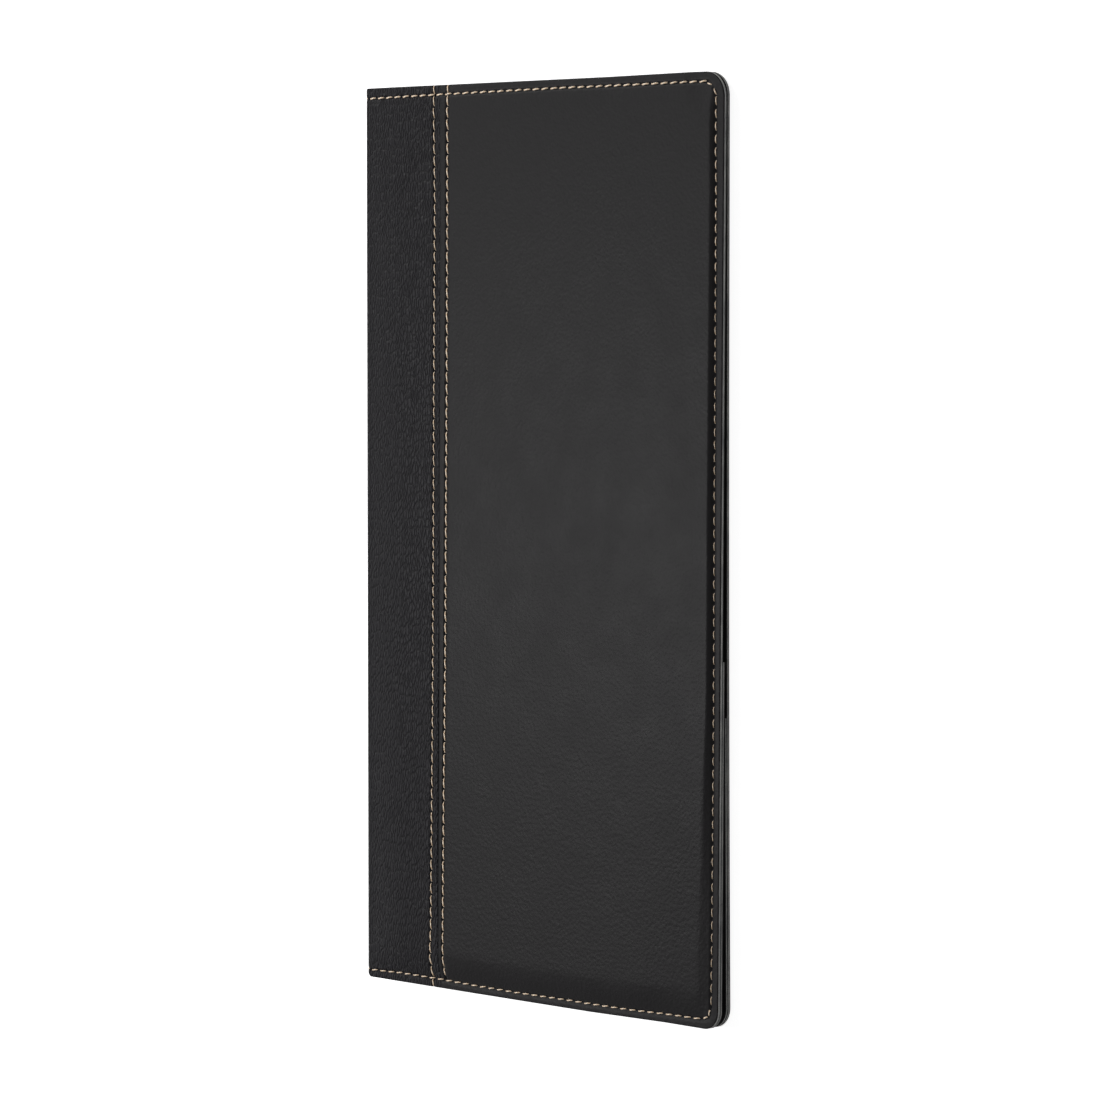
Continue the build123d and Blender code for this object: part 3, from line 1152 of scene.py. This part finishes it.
@dataclass
class InnerSheets:
    """The lining and the bill pocket of one cover."""

    side: Side
    coat: float = 0.3
    pocket_sheet: float = 0.7
    pressed: float = 0.78  # how far its face stands off the lining where it's sewn down
    swell: float = 0.1  # and how much more in its middle
    swelling: Ease = Ease(0.6, 9.0)
    sewn_margins: tuple[float, float] = (3.0, 2.5)  # of the pocket, at the free edge and the tail
    hem: float = 3.2
    hem_rise: float = 0.05
    hem_step: float = 0.4
    groove: float = 0.1
    groove_width: float = 0.5
    hole_share: float = 0.6
    hole_length: float = 0.42
    edge_radius: float = 0.12
    lip_radius: float = 0.28
    # The pocket's close grid lines: in from its start, and down from its mouth.
    start_steps: tuple[float, ...] = (0.0, 0.05, 0.2, 0.6, 1.2)
    row_reach: float = 0.8
    mouth_steps: tuple[float, ...] = (0.0, 0.05, 0.14, 0.28, 0.8, 1.8, 2.8, 3.05, 3.2, 3.35, 3.6, 4.6)
    fold_steps: int = 8

    @property
    def lining_face(self) -> float:
        """Depth of the lining's face under the margin's outer face."""
        return LAYOUT.skin + LAYOUT.lining

    def row_groove(self, u: float, y: float) -> float:
        """Find how far the edge row presses a face in.

        Args:
            u: Distance from the fold line.
            y: Distance up the page.

        Returns:
            The depth of the groove.
        """
        inset = LAYOUT.edge_distance(self.side, u, y) - LAYOUT.row_inset(self.side, u, y)
        holes = self.hole_share * bell(LAYOUT.hole_distance(self.side, u, y), self.hole_length)
        return self.groove * bell(inset, self.groove_width) * (1.0 + holes)

    def lining_height(self, u: float, y: float) -> float:
        """Height of the lining's face."""
        edge = self.edge_radius * rounding(LAYOUT.edge_distance(self.side, u, y), self.edge_radius)
        return -self.lining_face + self.row_groove(u, y) + edge

    def build_lining(self, name: str, us: Sequence[float], node: str) -> None:
        """Build the lining over the cover or round one half of the fold.

        Args:
            name: Name of the piece.
            us: Its grid lines from the fold outwards.
            node: The CAD node that it stands for.
        """
        sheet = Sheet(name, self.side, us, height_lines(fine=False))
        sheet.thicken(
            self.lining_height, lambda u, y: self.coat - self.lining_face, lambda u, y: -LAYOUT.skin
        )
        made = sheet.finished((INNER_FACE, BACKING))
        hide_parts(node)
        hold(made, self.side, on_fold=us[0] < 0.0)
        log.info("%s: %d faces", name, len(made.data.polygons))

    def pocket_swell(self, u: float, y: float) -> float:
        """Find how far the pocket's face stands off the lining.

        Args:
            u: Distance from the fold line.
            y: Distance up the page.

        Returns:
            The distance from the lining's face.
        """
        free, tail = self.sewn_margins
        border = min(
            u - LAYOUT.pocket_row, LAYOUT.width(self.side) - free - u, y + LAYOUT.half_height - tail
        )
        return self.pressed + self.swell * self.swelling(border)

    def pocket_height(self, u: float, y: float) -> float:
        """Find the height of the pocket's face.

        Args:
            u: Distance from the fold line.
            y: Distance up the page.

        Returns:
            The height over the margin.
        """
        mouth = LAYOUT.mouth(self.side)
        edge = min(LAYOUT.edge_distance(self.side, u, y), u - LAYOUT.pocket_start)
        hem = self.hem_rise * smoothstep((y - (mouth - self.hem)) / self.hem_step + 0.5)
        press = self.row_groove(u, y) + self.groove * bell(u - LAYOUT.pocket_row, self.groove_width)
        lip = self.edge_radius * rounding(edge, self.edge_radius)
        lip += self.lip_radius * rounding(mouth - y, self.lip_radius)
        return -(self.lining_face + self.pocket_swell(u, y) + hem) + press + lip

    def pocket_back(self, u: float, y: float) -> float:
        """Height of the pocket's back, clear of the lining behind its mouth."""
        return -(self.lining_face + self.pocket_swell(u, y) - self.pocket_sheet)

    def build_pocket(self) -> None:
        """Build the pocket, sewn on three sides, with a turned hem at its mouth."""
        free, mouth = LAYOUT.width(self.side), LAYOUT.mouth(self.side)
        start = LAYOUT.pocket_start
        close = [start + step for step in self.start_steps] + lines_round(LAYOUT.pocket_row, self.row_reach)
        us = [line for line in merged(width_lines(self.side, fine=False), close) if line >= start]
        top = [mouth - step for step in self.mouth_steps]
        ys = [line for line in merged(height_lines(fine=False), top) if line <= mouth]
        sheet = Sheet(f"{self.side.value}_pocket_sheet", self.side, us, ys)
        half = self.pocket_sheet / 2.0
        sheet.thicken(self.pocket_height, lambda u, y: self.pocket_back(u, y) - half, self.pocket_back)
        made = sheet.finished((INNER_FACE, BACKING))
        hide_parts(f"{self.side.value}_pocket")
        hold(made, self.side, on_fold=False)
        log.info("%s: %d faces", made.name, len(made.data.polygons))

    def surface(self, u: float, y: float) -> float:
        """Find the face that is innermost at a point, under a row of stitches.

        Args:
            u: Distance from the fold line.
            y: Distance up the page.

        Returns:
            Its height over the margin.
        """
        if u > LAYOUT.pocket_start and y < LAYOUT.mouth(self.side):
            return -(self.lining_face + self.pocket_swell(u, y)) + self.groove
        return -self.lining_face + self.groove

    def build(self) -> None:
        """Build the lining, its half of the fold, and the pocket."""
        prefix = self.side.value
        self.build_lining(f"{prefix}_lining_sheet", width_lines(self.side, fine=False), f"{prefix}_lining")
        self.build_lining(f"{prefix}_fold_lining", fold_lines(self.fold_steps), "spine_lining")
        self.build_pocket()


# ------------------------------------------------------------------------------------------ sewing


@dataclass(frozen=True)
class Row:
    """How a row's stitches lie: length, slant across the row in degrees, how proud, and half width."""

    length: float
    slant: float
    proud: float
    radius: float


HEAD_ROW = Row(2.55, 5.0, 0.19, 0.235)
TAIL_ROW = Row(2.4, 5.0, 0.12, 0.185)
ALONG_ROW = Row(2.25, 1.0, 0.05, 0.122)
UPPER_ROW = Row(2.3, 0.0, 0.1, 0.185)
CORNER_ROW = Row(1.8, 3.0, 0.14, 0.21)
BAND_ROW = Row(2.95, 6.5, 0.06, 0.2)
PANEL_ROW = Row(2.95, 6.0, 0.08, 0.27)
FOLD_ROW = Row(2.2, 5.0, 0.04, 0.2)
POCKET_ROW = Row(2.5, 7.0, 0.2, 0.28)


@dataclass(frozen=True)
class Stitch:
    """One stitch: its middle in the flat lay-out, its row's heading in degrees, and its row."""

    u: float
    y: float
    heading: float
    row: Row


@dataclass
class Sewing:
    """The rows of stitches of one cover."""

    side: Side
    inner: InnerSheets
    flatness: float = 0.65
    swing: float = 0.03
    dive: float = 0.35  # how deep a stitch's ends go
    dive_power: float = 4.5
    taper: float = 0.25  # how much thinner they are
    taper_power: int = 4
    inside_proud: float = 0.18
    slant_play: float = 2.5
    proud_play: float = 0.03
    # The stitches round the corners: at the head or the tail, and degrees round from the free edge.
    corner_turns: tuple[tuple[float, float], ...] = ((1.0, 22.5), (1.0, 67.5), (-1.0, 15.0), (-1.0, 75.0))
    # The short stitches that end a seam row: their lengths at the head and the tail, and how far
    # their middles lie from the cut edge.
    end_lengths: tuple[float, float] = (2.4, 2.2)
    end_inset: float = 1.25
    pocket_ends: tuple[float, float] = (4.2, 1.0)  # of its row: up from the tail, and down from the mouth
    sides: int = 6
    cuts: tuple[float, ...] = (-0.4, -0.22, 0.0, 0.22, 0.4)
    chance: random.Random = field(default_factory=lambda: random.Random(11))

    def template(self) -> bpy.types.Mesh:
        """Make a length of thread to bend into stitches: one long, and lying along X.

        Returns:
            Its mesh.
        """
        bm = bmesh.new()
        turn = Matrix.Rotation(math.pi / 2.0, 4, "Y")
        bmesh.ops.create_cone(
            bm, cap_ends=True, segments=self.sides, radius1=1.0, radius2=1.0, depth=1.0, matrix=turn
        )
        for cut in self.cuts:
            everything = bm.verts[:] + bm.edges[:] + bm.faces[:]
            bmesh.ops.bisect_plane(bm, geom=everything, plane_co=(cut, 0.0, 0.0), plane_no=(1.0, 0.0, 0.0))
        lay = bm.loops.layers.uv.new("thread_lay")
        for part in bm.faces:
            turns = [math.atan2(loop.vert.co.z, loop.vert.co.y) / math.tau % 1.0 for loop in part.loops]
            wraps = max(turns) - min(turns) > 0.5
            for loop, share in zip(part.loops, turns):
                loop[lay].uv = (loop.vert.co.x, share + 1.0 if wraps and share < 0.5 else share)
        mesh = bpy.data.meshes.new("stitch")
        bm.to_mesh(mesh)
        bm.free()
        return mesh

    def bend(self, point: Vector, stitch: Stitch, slant: float, proud: float) -> tuple[float, float, float]:
        """Shape one point of the template into a stitch in the flat lay-out.

        Args:
            point: The template's point, from -0.5 to 0.5 along X.
            stitch: Where the stitch is.
            slant: How far it lies across its row, in degrees.
            proud: How far its top stands over the surface.

        Returns:
            The point's u and y, and its height over the surface.
        """
        outward = abs(2.0 * point.x)
        thick = stitch.row.radius * (1.0 - self.taper * outward**self.taper_power)
        along = point.x * stitch.row.length
        aside = point.y * thick + self.swing * math.sin(math.tau * point.x)
        turn = math.radians(stitch.heading + slant)
        u = stitch.u + along * math.cos(turn) - aside * math.sin(turn)
        y = stitch.y + along * math.sin(turn) + aside * math.cos(turn)
        top = proud - stitch.row.radius * self.flatness - self.dive * outward**self.dive_power
        return u, y, top + point.z * thick * self.flatness

    def edge_row(self) -> list[Stitch]:
        """Lay out the row that sews all layers together, from the fold round to the fold.

        Returns:
            Its stitches.
        """
        free, top = LAYOUT.width(self.side), LAYOUT.half_height
        across, up = LAYOUT.across_pitch(self.side), LAYOUT.along_pitch()
        stitches = []
        for number in range(round((free - LAYOUT.corner_radius) / across)):
            u = (number + 0.5) * across
            for end, row in ((1.0, HEAD_ROW), (-1.0, TAIL_ROW)):
                inset = LAYOUT.row_inset(self.side, u, end * top)
                stitches.append(Stitch(u, end * (top - inset), 0.0, row))
        for number in range(round(2.0 * LAYOUT.straight_top / up)):
            y = -LAYOUT.straight_top + (number + 0.5) * up
            row = UPPER_ROW if y > LAYOUT.upper_row else ALONG_ROW
            stitches.append(Stitch(free - LAYOUT.row_inset(self.side, free, y), y, 90.0, row))
        for end, degrees in self.corner_turns:
            radius = LAYOUT.corner(self.side, end)
            turn, angle = radius - LAYOUT.corner_inset, math.radians(degrees)
            u, y = free - radius + turn * math.cos(angle), end * (top - radius + turn * math.sin(angle))
            stitches.append(Stitch(u, y, 90.0 + end * degrees, CORNER_ROW))
        return stitches

    def seam_row(self, row: Row, place: float, to_bottom: bool) -> list[Stitch]:
        """Lay out one decorative row beside the seam, cut through with the top edge.

        Args:
            row: How its stitches lie.
            place: Distance of the row from the fold line.
            to_bottom: Whether it is cut through with the bottom edge as well.

        Returns:
            Its stitches, before the seam's lean.
        """
        pitch, top = LAYOUT.along_pitch(), LAYOUT.straight_top
        head_end, tail_end = (replace(row, length=length) for length in self.end_lengths)
        count = round(2.0 * top / pitch) + 1
        stitches = [Stitch(place, -top + (number + 0.5) * pitch, 90.0, row) for number in range(count)]
        stitches.append(Stitch(place, LAYOUT.half_height - self.end_inset, 90.0, head_end))
        if to_bottom:
            stitches.append(Stitch(place, -top - pitch / 2.0, 90.0, row))
            stitches.append(Stitch(place, self.end_inset - LAYOUT.half_height, 90.0, tail_end))
        else:
            stitches.append(Stitch(place, -top - self.end_inset, 90.0, tail_end))
        return stitches

    def fold_row(self) -> list[Stitch]:
        """Lay out the two stitches that carry the edge row round this half of the fold.

        Returns:
            Both stitches.
        """
        u, top = -LAYOUT.fold_run / 2.0, LAYOUT.half_height
        return [
            Stitch(u, end * (top - LAYOUT.row_inset(self.side, u, end * top)), 0.0, FOLD_ROW)
            for end in (1.0, -1.0)
        ]

    def pocket_row(self) -> list[Stitch]:
        """Lay out the row down the spine side of the bill pocket.

        Returns:
            Its stitches.
        """
        up, down = self.pocket_ends
        start, stop = up - LAYOUT.half_height, LAYOUT.mouth(self.side) - down
        count = round((stop - start) / LAYOUT.stitch_pitch)
        pitch = (stop - start) / count
        return [
            Stitch(LAYOUT.pocket_row, start + (number + 0.5) * pitch, 90.0, POCKET_ROW)
            for number in range(count)
        ]

    def sew(
        self, bm: bmesh.types.BMesh, stitches: Sequence[Stitch], surface: Height, inside: bool = False,
        leaning: bool = False,
    ) -> None:
        """Put stitches on a surface.

        Args:
            bm: The mesh that takes them.
            stitches: Where they are.
            surface: Height of the surface under them.
            inside: Whether that is the inside of the cover.
            leaning: Whether they follow the seam's lean.
        """
        template = self.template()
        for stitch in stitches:
            slant = stitch.row.slant + self.chance.uniform(-self.slant_play, self.slant_play)
            proud = self.inside_proud if inside else stitch.row.proud
            proud += self.chance.uniform(-self.proud_play, self.proud_play)
            known = len(bm.verts)
            bm.from_mesh(template)
            bm.verts.ensure_lookup_table()
            for vert in bm.verts[known:]:
                u, y, over = self.bend(vert.co, stitch, slant, proud)
                lean = LAYOUT.leaning(u, y) if leaning else 0.0
                vert.co = LAYOUT.place(self.side, u + lean, y, surface(u, y) + (-over if inside else over))
        bpy.data.meshes.remove(template)

    def finish_row(
        self, name: str, bm: bmesh.types.BMesh, nodes: Sequence[str], on_fold: bool = False
    ) -> None:
        """Make an object of a row's mesh and hold it to its cover.

        Args:
            name: Name of the piece.
            bm: Its mesh.
            nodes: The CAD nodes that it stands for.
            on_fold: Whether it lies on the fold.
        """
        bmesh.ops.recalc_face_normals(bm, faces=bm.faces)
        made = as_object(name, bm, (THREAD,))
        if nodes:
            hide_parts(*nodes)
        hold(made, self.side, on_fold)
        log.info("%s: %d faces", name, len(made.data.polygons))

    def base(self, u: float, y: float) -> float:
        """Height of the pad under a row, without the grooves that the thread lies in."""
        return LAYOUT.pad(self.side, u, y)

    def build(self) -> None:
        """Sew the edge row on both faces, the seam rows, the fold's ends and the pocket."""
        prefix = self.side.value
        edge = bmesh.new()
        self.sew(edge, self.edge_row(), self.base)
        self.sew(edge, self.edge_row(), self.inner.surface, inside=True)
        self.finish_row(f"{prefix}_edge_stitches", edge, [f"{prefix}_edge_thread"])
        fold = bmesh.new()
        self.sew(fold, self.fold_row(), self.base)
        self.sew(fold, self.fold_row(), self.inner.surface, inside=True)
        self.finish_row(f"{prefix}_fold_stitches", fold, [], on_fold=True)
        rows = (("band", BAND_ROW, LAYOUT.band_row, True), ("panel", PANEL_ROW, LAYOUT.panel_row, False))
        for part, row, place, to_bottom in rows:
            bm = bmesh.new()
            self.sew(bm, self.seam_row(row, place, to_bottom), self.base, leaning=True)
            self.finish_row(f"{prefix}_{part}_stitches", bm, [f"{prefix}_{part}_thread"])
        pocket = bmesh.new()
        self.sew(pocket, self.pocket_row(), self.inner.surface, inside=True)
        self.finish_row(f"{prefix}_pocket_stitches", pocket, [])


@dataclass
class Stiffening:
    """The foam and the greyboard that one cover is stiffened with."""

    side: Side
    foam: float = 0.3
    board: float = 0.5
    slope_steps: tuple[float, float, float] = (0.0, 0.4, 0.8)  # grid lines down the foam's slope
    slope_end: float = 2.0
    columns: int = 24
    rows: int = 40

    def grid(self) -> tuple[list[float], list[float]]:
        """Find the grid lines that both sheets are laid out on.

        Returns:
            The lines from the fold outwards, and those up the page.
        """
        cut = 1.0 - self.foam / LAYOUT.pad_rise
        start = LAYOUT.packing_spine_foot + cut * LAYOUT.packing_spine_run
        inset = LAYOUT.packing_foot + cut * LAYOUT.packing_run
        slopes = (*self.slope_steps, LAYOUT.packing_run - (inset - LAYOUT.packing_foot), self.slope_end)
        stretch = LAYOUT.packing_spine_run / LAYOUT.packing_run
        stop, top = LAYOUT.width(self.side) - inset, LAYOUT.half_height - inset
        us = [start + stretch * step for step in slopes]
        across, up = stop - self.slope_end - us[-1], 2.0 * top - 2.0 * self.slope_end
        us += [us[-1] + across * number / self.columns for number in range(1, self.columns)]
        us += [stop - step for step in reversed(slopes)]
        ys = [-top + step for step in slopes]
        ys += [ys[-1] + up * number / self.rows for number in range(1, self.rows)]
        ys += [top - step for step in reversed(slopes)]
        return us, ys

    def build(self) -> None:
        """Build both sheets, the foam on the board."""
        us, ys = self.grid()
        foam_back = LAYOUT.board_face
        foam = Sheet(f"{self.side.value}_foam_sheet", self.side, us, ys)
        foam.thicken(
            lambda u, y: LAYOUT.packing(self.side, u, y), lambda u, y: foam_back + 2.0 * LAYOUT.hair,
            lambda u, y: foam_back + LAYOUT.hair,
        )
        board = Sheet(f"{self.side.value}_board_sheet", self.side, us, ys)
        board_back = foam_back - self.board
        board.thicken(
            lambda u, y: foam_back, lambda u, y: (foam_back + board_back) / 2.0, lambda u, y: board_back
        )
        parts = ((foam, FOAM, "foam", "foam"), (board, BOARD, "board", "greyboard"))
        for sheet, finish, part, slot in parts:
            made = sheet.finished((finish, finish))
            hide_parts(f"{self.side.value}_{part}")
            hold(made, self.side, on_fold=False)
            log.info("%s: %d faces", made.name, len(made.data.polygons))


# ------------------------------------------------------------------------------------------ studio


@dataclass(frozen=True)
class Lamp:
    """A square soft box: which way it lies from the object, how far, its size and its watts."""

    name: str
    direction: tuple[float, float, float]
    distance: float
    size: float
    watts: float

    def build(self) -> None:
        """Hang the lamp and turn it to the object."""
        data = bpy.data.lights.new(self.name, "AREA")
        data.shape = "SQUARE"
        data.size = self.size
        data.energy = self.watts
        made = bpy.data.objects.new(self.name, data)
        towards = Vector(self.direction).normalized()
        made.location = towards * self.distance
        made.rotation_mode = "QUATERNION"
        made.rotation_quaternion = towards.to_track_quat("Z", "Y")
        bpy.context.scene.collection.objects.link(made)


@dataclass(frozen=True)
class Studio:
    """The table top, the lamps, the white surroundings and the camera."""

    floor_half: float = 4.0
    floor_gap: float = 0.2
    floor_colour: str = "#e6e6e6"
    floor_lift: float = 0.9
    ambient: float = 0.12
    lamps: tuple[Lamp, ...] = (
        Lamp("key", (-0.6, 0.5, 0.6), 3.0, 2.0, 64.0),
        Lamp("gloss", (-0.64, -0.055, 0.77), 1.1, 0.22, 4.25),
        Lamp("edge", (0.95, -0.1, 0.25), 2.4, 1.0, 3.0),
    )
    focal_length: float = 149.962
    sensor: float = 36.0
    camera_place: tuple[float, float, float] = (0.90102, 0.06623, 0.88531)
    yaw: float = 45.488
    pitch: float = 3.0915

    def seen_rays(self, tree: bpy.types.NodeTree) -> bpy.types.NodeSocket:
        """Tell the rays that show the surroundings, straight on, in a reflection or through glass.

        Args:
            tree: The node tree to add to.

        Returns:
            A socket that is 1 for those rays.
        """
        seen = add_node(tree, "LightPath").outputs
        either = add_node(
            tree, "Math", links={0: seen["Is Camera Ray"], 1: seen["Is Glossy Ray"]}, operation="MAXIMUM"
        )
        return add_node(
            tree, "Math", links={0: either.outputs[0], 1: seen["Is Transmission Ray"]}, operation="MAXIMUM"
        ).outputs[0]

    def build_world(self) -> None:
        """White surroundings to look at, with a dimmer light from them."""
        world = bpy.data.worlds.new("studio")
        world.use_nodes = True
        tree = world.node_tree
        tree.nodes.clear()
        strength = add_node(
            tree, "MapRange", {"To Min": self.ambient, "To Max": 1.0}, {"Value": self.seen_rays(tree)}
        )
        glow = add_node(
            tree, "Background", {"Color": (1.0, 1.0, 1.0, 1.0)}, {"Strength": strength.outputs["Result"]}
        )
        add_node(tree, "OutputWorld", links={"Surface": glow.outputs[0]})
        bpy.context.scene.world = world

    def build_floor(self) -> None:
        """A pale table top that looks white and keeps the object's shadow."""
        bm = bmesh.new()
        bmesh.ops.create_grid(bm, x_segments=1, y_segments=1, size=self.floor_half)
        bmesh.ops.translate(bm, verts=bm.verts, vec=(0.0, 0.0, -self.floor_gap * MM))
        mesh = bpy.data.meshes.new("table_top")
        bm.to_mesh(mesh)
        bm.free()
        paint = bpy.data.materials.new("matt_white_laminate")
        paint.use_nodes = True
        tree = paint.node_tree
        tree.nodes.clear()
        lit = add_node(tree, "BsdfDiffuse", {"Color": to_linear(self.floor_colour)})
        lift = add_node(tree, "Math", {1: self.floor_lift}, {0: self.seen_rays(tree)}, operation="MULTIPLY")
        glow = add_node(tree, "Emission", {"Color": (1.0, 1.0, 1.0, 1.0)}, {"Strength": lift.outputs[0]})
        both = add_node(tree, "AddShader", links={0: lit.outputs[0], 1: glow.outputs[0]})
        add_node(tree, "OutputMaterial", links={"Surface": both.outputs[0]})
        mesh.materials.append(paint)
        floor = bpy.data.objects.new("table_top", mesh)
        bpy.context.scene.collection.objects.link(floor)

    def build_camera(self) -> None:
        """A long lens, turned to the free edge and tilted a little down along the page."""
        yaw, pitch = math.radians(self.yaw), math.radians(self.pitch)
        back = Vector((math.sin(yaw) * math.cos(pitch), math.sin(pitch), math.cos(yaw) * math.cos(pitch)))
        right = Vector((math.cos(yaw), 0.0, -math.sin(yaw)))
        data = bpy.data.cameras.new("camera")
        data.lens = self.focal_length
        data.sensor_width = self.sensor
        camera = bpy.data.objects.new("camera", data)
        turn = Matrix((right, back.cross(right), back)).transposed()
        camera.matrix_world = Matrix.Translation(self.camera_place) @ turn.to_4x4()
        bpy.context.scene.collection.objects.link(camera)
        bpy.context.scene.camera = camera

    def build(self) -> None:
        """Set the whole studio up."""
        bpy.context.scene.view_settings.view_transform = "Standard"
        self.build_world()
        self.build_floor()
        for lamp in self.lamps:
            lamp.build()
        self.build_camera()


def main() -> None:
    """Build the studio and every piece."""
    logging.basicConfig(level=logging.INFO, format="%(name)s: %(message)s")
    Studio().build()
    for side in Side:
        inner = InnerSheets(side)
        OuterSkin(side).build()
        inner.build()
        Sewing(side, inner).build()
        Stiffening(side).build()


if __name__ == "__main__":
    main()
